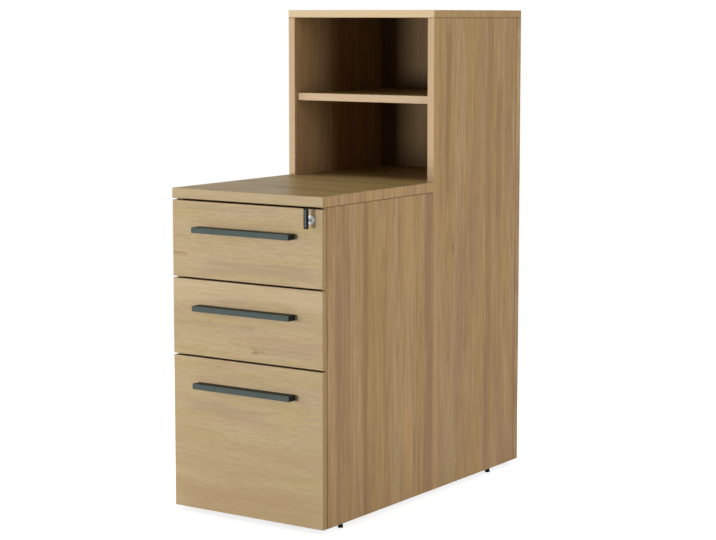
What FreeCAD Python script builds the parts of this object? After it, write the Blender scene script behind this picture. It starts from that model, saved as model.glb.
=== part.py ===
import FreeCAD, Part
import math
import os

# A desk-height pedestal with three drawers and an open bookcase behind it, in millimetres.
# Z is up from the floor, X runs to the right, and Y runs back from the drawer fronts.
# The origin is on the floor, under the middle of the whole piece with its handles.

# Overall sizes
WIDTH = 416.0
DESK_HEIGHT = 740.0
CASE_HEIGHT = 1138.0
DESK_DEPTH = 446.0
CASE_DEPTH = 404.0
FOOT_GAP = 10.5

# Boards
BOARD = 18.0
SLAB = 23.0
FRONT_BOARD = 16.0
BACK_PANEL = 22.0
BOX_BOARD = 12.0
BOX_BOTTOM = 4.0
EDGE_RADIUS = 1.0

# Drawer fronts, two shallow ones over a deep one that takes the rest of the height
FRONT_GAP = 4.0
FRONT_INSET = 1.0
FRONT_RELIEF = 0.6
SHALLOW_PITCH = 176.625

# Pull handles, closed on top and hollow underneath
HANDLE_MARGIN = 74.0
HANDLE_PROJECTION = 25.0
HANDLE_HEIGHT = 12.5
HANDLE_TOP = 3.0
HANDLE_LIP = 4.0
HANDLE_END = 12.0
HANDLE_DROP = 62.5
HANDLE_CORNER = 4.0
HANDLE_EDGE = 0.6
HANDLE_SCREW = 4.0
HANDLE_SCREW_REACH = 12.0
SCREW_HEAD = 8.0
SCREW_HEAD_HEIGHT = 2.6

# Drawer boxes
BOX_BACK_ROOM = 22.0
BOX_CLEAR = 5.5
BOX_LOCK_ROOM = 13.0
FILE_HEADROOM = 85.75
BOTTOM_LIFT = 8.0
BOTTOM_GROOVE = 5.0
TONGUE = 6.0
TONGUE_REACH = 8.0

# Hanging-file rails in the deep drawer
RAIL_THICKNESS = 2.0
RAIL_HEIGHT = 30.0
RAIL_RISE = 12.0
RAIL_END_ROOM = 14.0

# Telescopic runners: an outer channel on the carcass, a middle one and an inner one on the box
RUNNER_WIDTH = 12.7
RUNNER_HEIGHT = 45.0
RUNNER_SETBACK = 3.0
RUNNER_BACK_ROOM = 7.5
RUNNER_SHEET = 1.2
RUNNER_LIFT = 35.0

# Shelf and the pins that lie in slots in its underside
SHELF_SETBACK = 12.0
SHELF_END_ROOM = 0.5
PIN_DIAMETER = 5.0
PIN_REACH = 9.0
PIN_STAND = 9.0
PIN_INSET = 37.0

# Dowels in the panel joints and bolts between the two carcasses
DOWEL = 8.0
DOWEL_LENGTH = 26.0
DOWEL_END_ROOM = 0.5
DOWEL_INSET = 35.0
BACK_DOWEL_INSET = 90.0
BOLT = 8.0
BOLT_HEAD = 13.0
BOLT_HEAD_HEIGHT = 2.5
BOLT_SPREAD = 120.0
BOLT_END_INSET = 130.0

# Levelling feet in the lower edges of the side panels
FRONT_FOOT_DEPTH = 78.0
BACK_FOOT_INSET = 133.0
FOOT_PAD = 12.5
FOOT_NECK = 10.0
FOOT_RIM = 2.0
FOOT_PAD_ROOM = 0.5
FOOT_STEM = 8.0
FOOT_STEM_LENGTH = 24.0
INSERT_DIAMETER = 11.0
INSERT_LENGTH = 26.0

# Cam lock in the top drawer front
LOCK_FROM_PANEL = 12.6
LOCK_FROM_TOP = 23.5
LOCK_FLANGE = 19.5
LOCK_FLANGE_HEIGHT = 3.0
LOCK_COLLAR = 15.0
LOCK_COLLAR_HEIGHT = 6.0
LOCK_CHAMFER = 0.8
LOCK_BARREL = 16.0
LOCK_BARREL_TAIL = 8.0
LOCK_PLUG = 11.0
LOCK_PLUG_RECESS = 0.6
LOCK_PLUG_TAIL = 1.0
LOCK_NUT_FLATS = 22.0
LOCK_NUT_HEIGHT = 3.0
CAM_THICKNESS = 2.0
CAM_HUB = 7.0
CAM_TIP = 4.0
CAM_TENON = 6.0
CAM_PIN = 4.0
CAM_PIN_REACH = 5.5
CAM_PIN_RADIUS = 8.0
CAM_REST_ANGLE = -45.0

# Key left in the lock
KEY_THICKNESS = 2.0
KEY_HEIGHT = 7.0
KEY_TIP = 12.0
KEY_IN_GRIP = 4.0
KEYWAY_END_ROOM = 1.0
GRIP_WIDTH = 10.0
GRIP_THICKNESS = 6.0
GRIP_LENGTH = 45.0
GRIP_BELOW_AXIS = 18.0
GRIP_STANDOFF = 15.5
GRIP_EDGE = 1.2

# Lock bar, let into the right side panel, and the lugs on the drawers that it stops
LOCK_BAR_WIDTH = 15.0
LOCK_BAR_THICKNESS = 3.5
LOCK_BAR_SETBACK = 4.5
LOCK_BAR_END = 8.0
DRIVER_THICKNESS = 2.0
DRIVER_GAP = 2.0
DRIVER_WALL = 4.0
DRIVER_SLOT_ROOM = 0.4
DRIVER_TIP = 1.8
CATCH_HEIGHT = 10.0
CATCH_INSET = 1.0
CATCH_REACH = 8.5
CATCH_ROOM = 1.5
LUG_HEIGHT = 10.0
LUG_FLANGE = 3.0
LUG_PLATE = 2.0
LUG_PLATE_LENGTH = 26.0
LUG_REACH = 9.2
LUG_DROP = 23.0
LUG_GAP = 3.0
GUIDE_THICKNESS = 1.8
GUIDE_HEIGHT = 16.0
GUIDE_OVERLAP = 12.0
GUIDE_LIP = 3.0
GUIDE_RISE = 46.0

# Clearances
SNUG = 0.05
SLIP = 0.1
RUN = 0.3

# Places that follow from the sizes. A depth is measured back from the face of the drawer fronts.
FRONT_Y = HANDLE_PROJECTION - (DESK_DEPTH + CASE_DEPTH + HANDLE_PROJECTION) / 2.0
SIDE_X = WIDTH / 2.0
INNER_X = SIDE_X - BOARD
SIDE_MIDDLE = SIDE_X - BOARD / 2.0
PANEL_FRONT = FRONT_BOARD + FRONT_RELIEF
SLAB_UNDER = DESK_HEIGHT - SLAB
PEDESTAL_BACK = DESK_DEPTH - BOARD
LOWER_PANEL_BACK = DESK_DEPTH + BOARD
CASE_BACK = DESK_DEPTH + CASE_DEPTH
CASE_INSIDE_BACK = CASE_BACK - BACK_PANEL
CASE_TOP_UNDER = CASE_HEIGHT - BOARD
FIXED_SHELF_UNDER = DESK_HEIGHT - BOARD
FLOOR_PANEL_TOP = FOOT_GAP + BOARD
SHELF_UNDER = (DESK_HEIGHT + CASE_TOP_UNDER - BOARD) / 2.0
SHELF_FRONT = DESK_DEPTH + SHELF_SETBACK
BACK_FOOT_DEPTH = CASE_BACK - BACK_FOOT_INSET
HANDLE_LENGTH = WIDTH - 2.0 * HANDLE_MARGIN
HANDLE_SCREW_X = (HANDLE_LENGTH - HANDLE_END) / 2.0

BOX_X = INNER_X - RUNNER_WIDTH
BOX_INNER_X = BOX_X - BOX_BOARD
BOX_END = PEDESTAL_BACK - BOX_BACK_ROOM
BOX_LIFT = BOARD + BOX_CLEAR
RUNNER_START = PANEL_FRONT + RUNNER_SETBACK
RUNNER_END = PEDESTAL_BACK - RUNNER_BACK_ROOM

LOCK_NUT_CORNER = LOCK_NUT_FLATS / math.sqrt(3.0)
SHALLOW_HEADROOM = LOCK_FROM_TOP + LOCK_NUT_CORNER + BOX_LOCK_ROOM

# Each drawer: the lower and upper limit of its bay, and the room over its box
DRAWERS = {
    "top": (SLAB_UNDER - SHALLOW_PITCH, SLAB_UNDER, SHALLOW_HEADROOM),
    "middle": (SLAB_UNDER - 2.0 * SHALLOW_PITCH, SLAB_UNDER - SHALLOW_PITCH, SHALLOW_HEADROOM),
    "bottom": (FOOT_GAP, SLAB_UNDER - 2.0 * SHALLOW_PITCH, FILE_HEADROOM),
}
SIDES = {"left": -1.0, "right": 1.0}

nodes = {}


def point(x, depth, z):
    """A place given across, behind the drawer fronts, and above the floor."""
    return FreeCAD.Vector(x, FRONT_Y + depth, z)


def block(x_limits, depth_limits, z_limits):
    """A sharp-edged box between the given limits, each pair in either order."""
    x0, x1 = sorted(x_limits)
    d0, d1 = sorted(depth_limits)
    z0, z1 = sorted(z_limits)
    return Part.makeBox(x1 - x0, d1 - d0, z1 - z0, point(x0, d0, z0))


def softened(shape, radius):
    """The shape with every edge rounded, by no more than its walls allow."""
    box = shape.BoundBox
    thinnest = min(box.XLength, box.YLength, box.ZLength)
    return shape.makeFillet(min(radius, thinnest / 4.0), shape.Edges)


def board(x_limits, depth_limits, z_limits):
    """A panel with softly rounded edges."""
    return softened(block(x_limits, depth_limits, z_limits), EDGE_RADIUS)


def rod(diameter, start, direction, length):
    """A round bar from a start point along a direction."""
    return Part.makeCylinder(diameter / 2.0, length, start, FreeCAD.Vector(*direction))


def back_rod(diameter, x, z, depth_limits):
    """A round bar that runs straight back between two depths."""
    d0, d1 = depth_limits
    return rod(diameter, point(x, d0, z), (0, 1, 0), d1 - d0)


def turned(profile):
    """A solid of revolution about Z from (radius, height) corners."""
    corners = [FreeCAD.Vector(radius, 0, height) for radius, height in profile]
    outline = Part.makePolygon(corners + corners[:1])
    face = Part.Face(outline)
    return face.revolve(FreeCAD.Vector(0, 0, 0), FreeCAD.Vector(0, 0, 1), 360)


def stood_on(solid, place):
    """A turned solid moved so that its axis rises from a place."""
    moved = solid.copy()
    moved.translate(place)
    return moved


def laid_back(solid, place):
    """A turned solid whose axis is laid along Y and moved to a place."""
    moved = solid.copy()
    moved.rotate(FreeCAD.Vector(0, 0, 0), FreeCAD.Vector(1, 0, 0), -90)
    moved.translate(place)
    return moved


def mirrored(shape):
    """The same piece for the other side."""
    return shape.mirror(FreeCAD.Vector(0, 0, 0), FreeCAD.Vector(1, 0, 0))


def front_limits(name):
    """The lower and upper edge of a drawer front."""
    lower, upper, headroom = DRAWERS[name]
    return lower, upper - FRONT_GAP


def box_limits(name):
    """The lower and upper edge of a drawer box."""
    lower, upper = front_limits(name)
    return lower + BOX_LIFT, upper - DRAWERS[name][2]


# Carcass panels
def make_pedestal_panels():
    for side, sign in SIDES.items():
        nodes["pedestal_%s_side" % side] = board(
            (sign * INNER_X, sign * SIDE_X), (PANEL_FRONT, DESK_DEPTH), (FOOT_GAP, SLAB_UNDER))
    nodes["desk_top"] = board((-SIDE_X, SIDE_X), (0.0, DESK_DEPTH), (SLAB_UNDER, DESK_HEIGHT))
    nodes["pedestal_bottom"] = board(
        (-INNER_X, INNER_X), (PANEL_FRONT, PEDESTAL_BACK), (FOOT_GAP, FLOOR_PANEL_TOP))
    nodes["pedestal_back"] = board(
        (-INNER_X, INNER_X), (PEDESTAL_BACK, DESK_DEPTH), (FOOT_GAP, SLAB_UNDER))


def make_bookcase_panels():
    for side, sign in SIDES.items():
        nodes["bookcase_%s_side" % side] = board(
            (sign * INNER_X, sign * SIDE_X), (DESK_DEPTH, CASE_INSIDE_BACK), (FOOT_GAP, CASE_TOP_UNDER))
    nodes["bookcase_top"] = board(
        (-SIDE_X, SIDE_X), (DESK_DEPTH, CASE_BACK), (CASE_TOP_UNDER, CASE_HEIGHT))
    nodes["bookcase_back"] = board(
        (-SIDE_X, SIDE_X), (CASE_INSIDE_BACK, CASE_BACK), (FOOT_GAP, CASE_TOP_UNDER))
    inside = (DESK_DEPTH, CASE_INSIDE_BACK)
    nodes["bookcase_bottom"] = board((-INNER_X, INNER_X), inside, (FOOT_GAP, FLOOR_PANEL_TOP))
    nodes["fixed_shelf"] = board((-INNER_X, INNER_X), inside, (FIXED_SHELF_UNDER, DESK_HEIGHT))
    nodes["bookcase_lower_panel"] = board(
        (-INNER_X, INNER_X), (DESK_DEPTH, LOWER_PANEL_BACK), (FLOOR_PANEL_TOP, FIXED_SHELF_UNDER))


# Dowels and bolts that hold the panels
def dowel_joint(first, second, place, direction, dowels):
    """Bores two panels for one dowel that crosses their joint, and adds the dowel."""
    along = FreeCAD.Vector(*direction)
    bore_length = DOWEL_LENGTH + 2.0 * DOWEL_END_ROOM
    bore = rod(DOWEL + 2.0 * SNUG, place - along * (bore_length / 2.0), direction, bore_length)
    for name in (first, second):
        nodes[name] = nodes[name].cut(bore)
    dowels.append(rod(DOWEL, place - along * (DOWEL_LENGTH / 2.0), direction, DOWEL_LENGTH))


def join_panels():
    dowels = []
    pedestal_depths = (PANEL_FRONT + DOWEL_INSET, PEDESTAL_BACK - DOWEL_INSET)
    case_depths = (LOWER_PANEL_BACK + DOWEL_INSET, CASE_INSIDE_BACK - DOWEL_INSET)
    lower_heights = (FLOOR_PANEL_TOP + BACK_DOWEL_INSET, SLAB_UNDER - BACK_DOWEL_INSET)
    back_heights = lower_heights + (CASE_TOP_UNDER - BACK_DOWEL_INSET,)
    floor_middle = FOOT_GAP + BOARD / 2.0
    for side, sign in SIDES.items():
        across = (sign, 0, 0)
        pedestal_side = "pedestal_%s_side" % side
        case_side = "bookcase_%s_side" % side
        edge = sign * SIDE_MIDDLE
        face = sign * INNER_X
        for depth in pedestal_depths:
            dowel_joint("desk_top", pedestal_side, point(edge, depth, SLAB_UNDER), (0, 0, 1), dowels)
            dowel_joint("pedestal_bottom", pedestal_side, point(face, depth, floor_middle), across, dowels)
        for depth in case_depths:
            dowel_joint("bookcase_top", case_side, point(edge, depth, CASE_TOP_UNDER), (0, 0, 1), dowels)
            dowel_joint("bookcase_bottom", case_side, point(face, depth, floor_middle), across, dowels)
            shelf_place = point(face, depth, DESK_HEIGHT - BOARD / 2.0)
            dowel_joint("fixed_shelf", case_side, shelf_place, across, dowels)
        for height in lower_heights:
            pedestal_place = point(face, DESK_DEPTH - BOARD / 2.0, height)
            dowel_joint("pedestal_back", pedestal_side, pedestal_place, across, dowels)
            lower_place = point(face, DESK_DEPTH + BOARD / 2.0, height)
            dowel_joint("bookcase_lower_panel", case_side, lower_place, across, dowels)
        for height in back_heights:
            back_place = point(edge, CASE_INSIDE_BACK, height)
            dowel_joint("bookcase_back", case_side, back_place, (0, 1, 0), dowels)
    nodes["panel_dowels"] = Part.makeCompound(dowels)


def bolt_carcasses():
    """Headed connector bolts through the two panels that stand back to back."""
    bolts = []
    for x in (-BOLT_SPREAD, BOLT_SPREAD):
        for z in (FLOOR_PANEL_TOP + BOLT_END_INSET, SLAB_UNDER - BOLT_END_INSET):
            bore = back_rod(BOLT + 2.0 * SNUG, x, z, (PEDESTAL_BACK, LOWER_PANEL_BACK))
            nodes["pedestal_back"] = nodes["pedestal_back"].cut(bore)
            nodes["bookcase_lower_panel"] = nodes["bookcase_lower_panel"].cut(bore)
            shank = back_rod(BOLT, x, z, (PEDESTAL_BACK, LOWER_PANEL_BACK))
            head = back_rod(BOLT_HEAD, x, z, (PEDESTAL_BACK - BOLT_HEAD_HEIGHT, PEDESTAL_BACK))
            sleeve = back_rod(BOLT_HEAD, x, z, (LOWER_PANEL_BACK, LOWER_PANEL_BACK + BOLT_HEAD_HEIGHT))
            bolts.append(shank.fuse([head, sleeve]).removeSplitter())
    nodes["joining_bolts"] = Part.makeCompound(bolts)


# Adjustable shelf
def make_shelf():
    """A loose shelf on four pins, which lie in slots in its underside."""
    half = INNER_X - SHELF_END_ROOM
    shelf = board((-half, half), (SHELF_FRONT, CASE_INSIDE_BACK - SHELF_END_ROOM),
                  (SHELF_UNDER, SHELF_UNDER + BOARD))
    pin_z = SHELF_UNDER + PIN_DIAMETER / 2.0
    slot_half = PIN_DIAMETER / 2.0 + SLIP
    pins = []
    for side, sign in SIDES.items():
        wall = "bookcase_%s_side" % side
        for depth in (SHELF_FRONT + PIN_INSET, CASE_INSIDE_BACK - PIN_INSET):
            mouth = point(sign * INNER_X, depth, pin_z)
            hole = rod(PIN_DIAMETER + 2.0 * SNUG, mouth, (sign, 0, 0), PIN_REACH + SLIP)
            nodes[wall] = nodes[wall].cut(hole)
            slot = block((sign * (INNER_X - PIN_STAND - SLIP), sign * INNER_X),
                         (depth - slot_half, depth + slot_half), (SHELF_UNDER, SHELF_UNDER + PIN_DIAMETER))
            shelf = shelf.cut(slot)
            tip = point(sign * (INNER_X - PIN_STAND), depth, pin_z)
            pins.append(rod(PIN_DIAMETER, tip, (sign, 0, 0), PIN_STAND + PIN_REACH))
    nodes["adjustable_shelf"] = shelf
    nodes["shelf_pins"] = Part.makeCompound(pins)


# Levelling feet
def make_feet():
    inserts = []
    pad_height = FOOT_GAP - FOOT_PAD_ROOM
    profile = [(0.0, 0.0), (FOOT_PAD / 2.0, 0.0), (FOOT_PAD / 2.0, FOOT_RIM), (FOOT_NECK / 2.0, pad_height),
               (FOOT_STEM / 2.0, pad_height), (FOOT_STEM / 2.0, pad_height + FOOT_STEM_LENGTH),
               (0.0, pad_height + FOOT_STEM_LENGTH)]
    foot = turned(profile)
    rows = (("front", FRONT_FOOT_DEPTH, "pedestal"), ("back", BACK_FOOT_DEPTH, "bookcase"))
    for row, depth, carcass in rows:
        for side, sign in SIDES.items():
            panel = "%s_%s_side" % (carcass, side)
            place = point(sign * SIDE_MIDDLE, depth, FOOT_GAP)
            bore = rod(INSERT_DIAMETER + 2.0 * SNUG, place, (0, 0, 1), INSERT_LENGTH + SLIP)
            nodes[panel] = nodes[panel].cut(bore)
            sleeve = rod(INSERT_DIAMETER, place, (0, 0, 1), INSERT_LENGTH)
            inserts.append(sleeve.cut(rod(FOOT_STEM + 2.0 * SNUG, place, (0, 0, 1), INSERT_LENGTH)))
            nodes["%s_%s_foot" % (row, side)] = stood_on(foot, point(sign * SIDE_MIDDLE, depth, 0.0))
    nodes["foot_inserts"] = Part.makeCompound(inserts)


# Drawers
def make_front(name):
    """A drawer front with grooves for the box sides and bores for the handle screws."""
    lower, upper = front_limits(name)
    half = SIDE_X - FRONT_INSET
    front = board((-half, half), (0.0, FRONT_BOARD), (lower, upper))
    box_lower, box_upper = box_limits(name)
    groove_half = TONGUE / 2.0 + SLIP
    side_middle = BOX_X - BOX_BOARD / 2.0
    for sign in SIDES.values():
        middle = sign * side_middle
        groove = block((middle - groove_half, middle + groove_half),
                       (FRONT_BOARD - TONGUE_REACH - SLIP, FRONT_BOARD),
                       (box_lower - SLIP, box_upper + SLIP))
        front = front.cut(groove)
        screw_x = sign * HANDLE_SCREW_X
        bore = back_rod(HANDLE_SCREW + 2.0 * SNUG, screw_x, upper - HANDLE_DROP, (0.0, FRONT_BOARD))
        front = front.cut(bore)
    return front


def make_handle(name):
    """A pull: a closed top, a lip in front, two solid ends and a hollow for the fingertips underneath."""
    middle = front_limits(name)[1] - HANDLE_DROP
    lower = middle - HANDLE_HEIGHT / 2.0
    upper = middle + HANDLE_HEIGHT / 2.0
    half = HANDLE_LENGTH / 2.0
    blank = softened(block((-half, half), (-HANDLE_PROJECTION, 0.0), (lower, upper)), HANDLE_EDGE)
    hollow_half = half - HANDLE_END
    hollow = block((-hollow_half, hollow_half), (HANDLE_LIP - HANDLE_PROJECTION, HANDLE_CORNER),
                   (lower - HANDLE_CORNER, upper - HANDLE_TOP))
    corner_edges = [edge for edge in hollow.Edges
                    if edge.BoundBox.ZLength > 0.5 * HANDLE_HEIGHT
                    and edge.BoundBox.YMin < FRONT_Y - HANDLE_CORNER]
    pull = blank.cut(hollow.makeFillet(HANDLE_CORNER, corner_edges))
    for sign in SIDES.values():
        screw_x = sign * HANDLE_SCREW_X
        reach = (-HANDLE_SCREW_REACH - SLIP, 0.0)
        pull = pull.cut(back_rod(HANDLE_SCREW + 2.0 * SNUG, screw_x, middle, reach))
    return pull


def make_handle_screws(name):
    middle = front_limits(name)[1] - HANDLE_DROP
    screws = []
    for sign in SIDES.values():
        screw_x = sign * HANDLE_SCREW_X
        shank = back_rod(HANDLE_SCREW, screw_x, middle, (-HANDLE_SCREW_REACH, FRONT_BOARD))
        head = back_rod(SCREW_HEAD, screw_x, middle, (FRONT_BOARD, FRONT_BOARD + SCREW_HEAD_HEIGHT))
        screws.append(shank.fuse(head).removeSplitter())
    return Part.makeCompound(screws)


def make_box_sides(name):
    """Two box sides, tongued into the front and grooved for the bottom."""
    lower, upper = box_limits(name)
    side = block((BOX_INNER_X, BOX_X), (FRONT_BOARD, BOX_END), (lower, upper))
    middle = (BOX_INNER_X + BOX_X) / 2.0
    tongue = block((middle - TONGUE / 2.0, middle + TONGUE / 2.0),
                   (FRONT_BOARD - TONGUE_REACH, FRONT_BOARD), (lower, upper))
    groove = block((BOX_INNER_X, BOX_INNER_X + BOTTOM_GROOVE + SLIP), (FRONT_BOARD, BOX_END),
                   (lower + BOTTOM_LIFT - SLIP, lower + BOTTOM_LIFT + BOX_BOTTOM + SLIP))
    right = side.fuse(tongue).cut(groove).removeSplitter()
    return Part.makeCompound([mirrored(right), right])


def make_box_bottom(name):
    floor = box_limits(name)[0] + BOTTOM_LIFT
    half = BOX_INNER_X + BOTTOM_GROOVE
    return block((-half, half), (FRONT_BOARD, BOX_END), (floor, floor + BOX_BOTTOM))


def make_box_back(name):
    """The back stands on the bottom, between the sides."""
    lower, upper = box_limits(name)
    return block((-BOX_INNER_X, BOX_INNER_X), (BOX_END - BOX_BOARD, BOX_END),
                 (lower + BOTTOM_LIFT + BOX_BOTTOM, upper))


def channel(web_limits, lip_x, half_height, middle):
    """A runner channel: an upright web and a flange above and below, out to the lips."""
    depth_limits = (RUNNER_START, RUNNER_END)
    web = block(web_limits, depth_limits, (middle - half_height, middle + half_height))
    flange_limits = sorted((*web_limits, lip_x))
    across = (flange_limits[0], flange_limits[-1])
    upper = block(across, depth_limits, (middle + half_height - RUNNER_SHEET, middle + half_height))
    lower = block(across, depth_limits, (middle - half_height, middle - half_height + RUNNER_SHEET))
    return web.fuse([upper, lower]).removeSplitter()


def make_runners(name):
    """Three nested channels on each side of a drawer, each running clear of the next."""
    middle = box_limits(name)[0] + RUNNER_LIFT
    step = RUNNER_SHEET + RUN
    half = RUNNER_HEIGHT / 2.0
    inner_lip = INNER_X - 2.0 * step
    channels = {
        "outer": channel((INNER_X - RUNNER_SHEET, INNER_X), BOX_X + 2.0 * step, half, middle),
        "middle": channel((INNER_X - step - RUNNER_SHEET, INNER_X - step), BOX_X + step, half - step, middle),
        "inner": channel((BOX_X, BOX_X + RUNNER_SHEET), inner_lip, half - 2.0 * step, middle),
    }
    for member, right in channels.items():
        nodes["%s_runner_%s" % (name, member)] = Part.makeCompound([mirrored(right), right])


def lug_limits(name):
    """The lower and upper edge of the lug that the lock bar stops."""
    lower = box_limits(name)[1] - LUG_DROP
    return lower, lower + LUG_HEIGHT


def make_lug(name):
    """An angle on the right box side: a plate along it and a flange that stands out."""
    z_limits = lug_limits(name)
    plate = block((BOX_X, BOX_X + LUG_PLATE), (LUG_FRONT, LUG_FRONT + LUG_PLATE_LENGTH), z_limits)
    flange = block((BOX_X, BOX_X + LUG_REACH), (LUG_FRONT, LUG_FRONT + LUG_FLANGE), z_limits)
    return plate.fuse(flange).removeSplitter()


def make_drawer(name):
    nodes["%s_drawer_front" % name] = make_front(name)
    nodes["%s_handle" % name] = make_handle(name)
    nodes["%s_handle_screws" % name] = make_handle_screws(name)
    nodes["%s_box_sides" % name] = make_box_sides(name)
    nodes["%s_box_bottom" % name] = make_box_bottom(name)
    nodes["%s_box_back" % name] = make_box_back(name)
    nodes["%s_lock_lug" % name] = make_lug(name)
    make_runners(name)


def make_file_rails():
    """Flat rails along the deep box, on the inner faces of its sides."""
    upper = box_limits("bottom")[1] + RAIL_RISE
    right = block((BOX_INNER_X - RAIL_THICKNESS, BOX_INNER_X),
                  (FRONT_BOARD + RAIL_END_ROOM, BOX_END - BOX_BOARD - RAIL_END_ROOM),
                  (upper - RAIL_HEIGHT, upper))
    nodes["file_rails"] = Part.makeCompound([mirrored(right), right])


# Lock
LOCK_X = INNER_X - LOCK_FROM_PANEL
LOCK_Z = front_limits("top")[1] - LOCK_FROM_TOP
LOCK_BARREL_END = FRONT_BOARD + LOCK_BARREL_TAIL
CAM_START = LOCK_BARREL_END + LOCK_PLUG_TAIL
CAM_END = CAM_START + CAM_THICKNESS
CAM_PIN_X = LOCK_X + CAM_PIN_RADIUS * math.cos(math.radians(CAM_REST_ANGLE))
CAM_PIN_Z = LOCK_Z + CAM_PIN_RADIUS * math.sin(math.radians(CAM_REST_ANGLE))
LOCK_STROKE = 2.0 * (LOCK_Z - CAM_PIN_Z)
LOCK_BAR_FRONT = PANEL_FRONT + LOCK_BAR_SETBACK
LOCK_BAR_BACK = LOCK_BAR_FRONT + LOCK_BAR_WIDTH
LOCK_BAR_X = INNER_X + RUN
LUG_FRONT = LOCK_BAR_BACK - CATCH_INSET + LUG_GAP


def make_lock():
    axis = point(LOCK_X, 0.0, LOCK_Z)
    flange = LOCK_FLANGE / 2.0
    collar = LOCK_COLLAR / 2.0
    barrel = LOCK_BARREL / 2.0
    bore = LOCK_PLUG / 2.0
    profile = [(bore, -LOCK_COLLAR_HEIGHT), (collar - LOCK_CHAMFER, -LOCK_COLLAR_HEIGHT),
               (collar, LOCK_CHAMFER - LOCK_COLLAR_HEIGHT), (collar, -LOCK_FLANGE_HEIGHT),
               (flange - LOCK_CHAMFER, -LOCK_FLANGE_HEIGHT), (flange, LOCK_CHAMFER - LOCK_FLANGE_HEIGHT),
               (flange, 0.0), (barrel, 0.0), (barrel, LOCK_BARREL_END), (bore, LOCK_BARREL_END)]
    nodes["lock_body"] = laid_back(turned(profile), axis)
    hole = back_rod(LOCK_BARREL + 2.0 * SNUG, LOCK_X, LOCK_Z, (0.0, FRONT_BOARD))
    nodes["top_drawer_front"] = nodes["top_drawer_front"].cut(hole)

    turns = [math.radians(60 * turn) for turn in range(7)]
    corners = [FreeCAD.Vector(LOCK_NUT_CORNER * math.sin(turn), 0.0, LOCK_NUT_CORNER * math.cos(turn))
               for turn in turns]
    hexagon = Part.Face(Part.makePolygon(corners))
    nut = hexagon.extrude(FreeCAD.Vector(0, LOCK_NUT_HEIGHT, 0))
    nut.translate(point(LOCK_X, FRONT_BOARD, LOCK_Z))
    nut_limits = (FRONT_BOARD, FRONT_BOARD + LOCK_NUT_HEIGHT)
    nut_bore = back_rod(LOCK_BARREL + 2.0 * SNUG, LOCK_X, LOCK_Z, nut_limits)
    nodes["lock_nut"] = nut.cut(nut_bore)

    plug_start = LOCK_PLUG_RECESS - LOCK_COLLAR_HEIGHT
    plug = back_rod(LOCK_PLUG - 2.0 * SNUG, LOCK_X, LOCK_Z, (plug_start, CAM_START))
    tenon = back_rod(CAM_TENON, LOCK_X, LOCK_Z, (CAM_START, CAM_END))
    keyway_half = KEY_THICKNESS / 2.0 + SLIP
    keyway_rise = KEY_HEIGHT / 2.0 + SLIP
    keyway = block((LOCK_X - keyway_half, LOCK_X + keyway_half), (plug_start, KEY_TIP + KEYWAY_END_ROOM),
                   (LOCK_Z - keyway_rise, LOCK_Z + keyway_rise))
    nodes["lock_plug"] = plug.fuse(tenon).removeSplitter().cut(keyway)


def make_cam():
    """A short lever on the plug with a pin at its tip that works the lock bar."""
    hub = back_rod(2.0 * CAM_HUB, LOCK_X, LOCK_Z, (CAM_START, CAM_END))
    tip = back_rod(2.0 * CAM_TIP, CAM_PIN_X, CAM_PIN_Z, (CAM_START, CAM_END))
    arm = block((LOCK_X, LOCK_X + CAM_PIN_RADIUS), (CAM_START, CAM_END), (LOCK_Z - CAM_TIP, LOCK_Z + CAM_TIP))
    arm.rotate(point(LOCK_X, 0.0, LOCK_Z), FreeCAD.Vector(0, -1, 0), CAM_REST_ANGLE)
    pin = back_rod(CAM_PIN, CAM_PIN_X, CAM_PIN_Z, (CAM_START, CAM_END + CAM_PIN_REACH))
    bore = back_rod(CAM_TENON + 2.0 * SNUG, LOCK_X, LOCK_Z, (CAM_START, CAM_END))
    nodes["lock_cam"] = hub.fuse([tip, arm, pin]).removeSplitter().cut(bore)


def make_key():
    grip_front = -GRIP_STANDOFF - GRIP_THICKNESS
    grip_lower = LOCK_Z - GRIP_BELOW_AXIS
    grip = softened(block((LOCK_X - GRIP_WIDTH / 2.0, LOCK_X + GRIP_WIDTH / 2.0),
                          (grip_front, -GRIP_STANDOFF), (grip_lower, grip_lower + GRIP_LENGTH)), GRIP_EDGE)
    blade_start = -GRIP_STANDOFF - KEY_IN_GRIP
    blade_rise = KEY_HEIGHT / 2.0
    blade = block((LOCK_X - KEY_THICKNESS / 2.0, LOCK_X + KEY_THICKNESS / 2.0), (blade_start, KEY_TIP),
                  (LOCK_Z - blade_rise, LOCK_Z + blade_rise))
    pocket_half = KEY_THICKNESS / 2.0 + SNUG
    pocket_rise = blade_rise + SNUG
    pocket = block((LOCK_X - pocket_half, LOCK_X + pocket_half), (blade_start - SNUG, -GRIP_STANDOFF),
                   (LOCK_Z - pocket_rise, LOCK_Z + pocket_rise))
    nodes["key_blade"] = blade
    nodes["key_grip"] = grip.cut(pocket)


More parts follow.
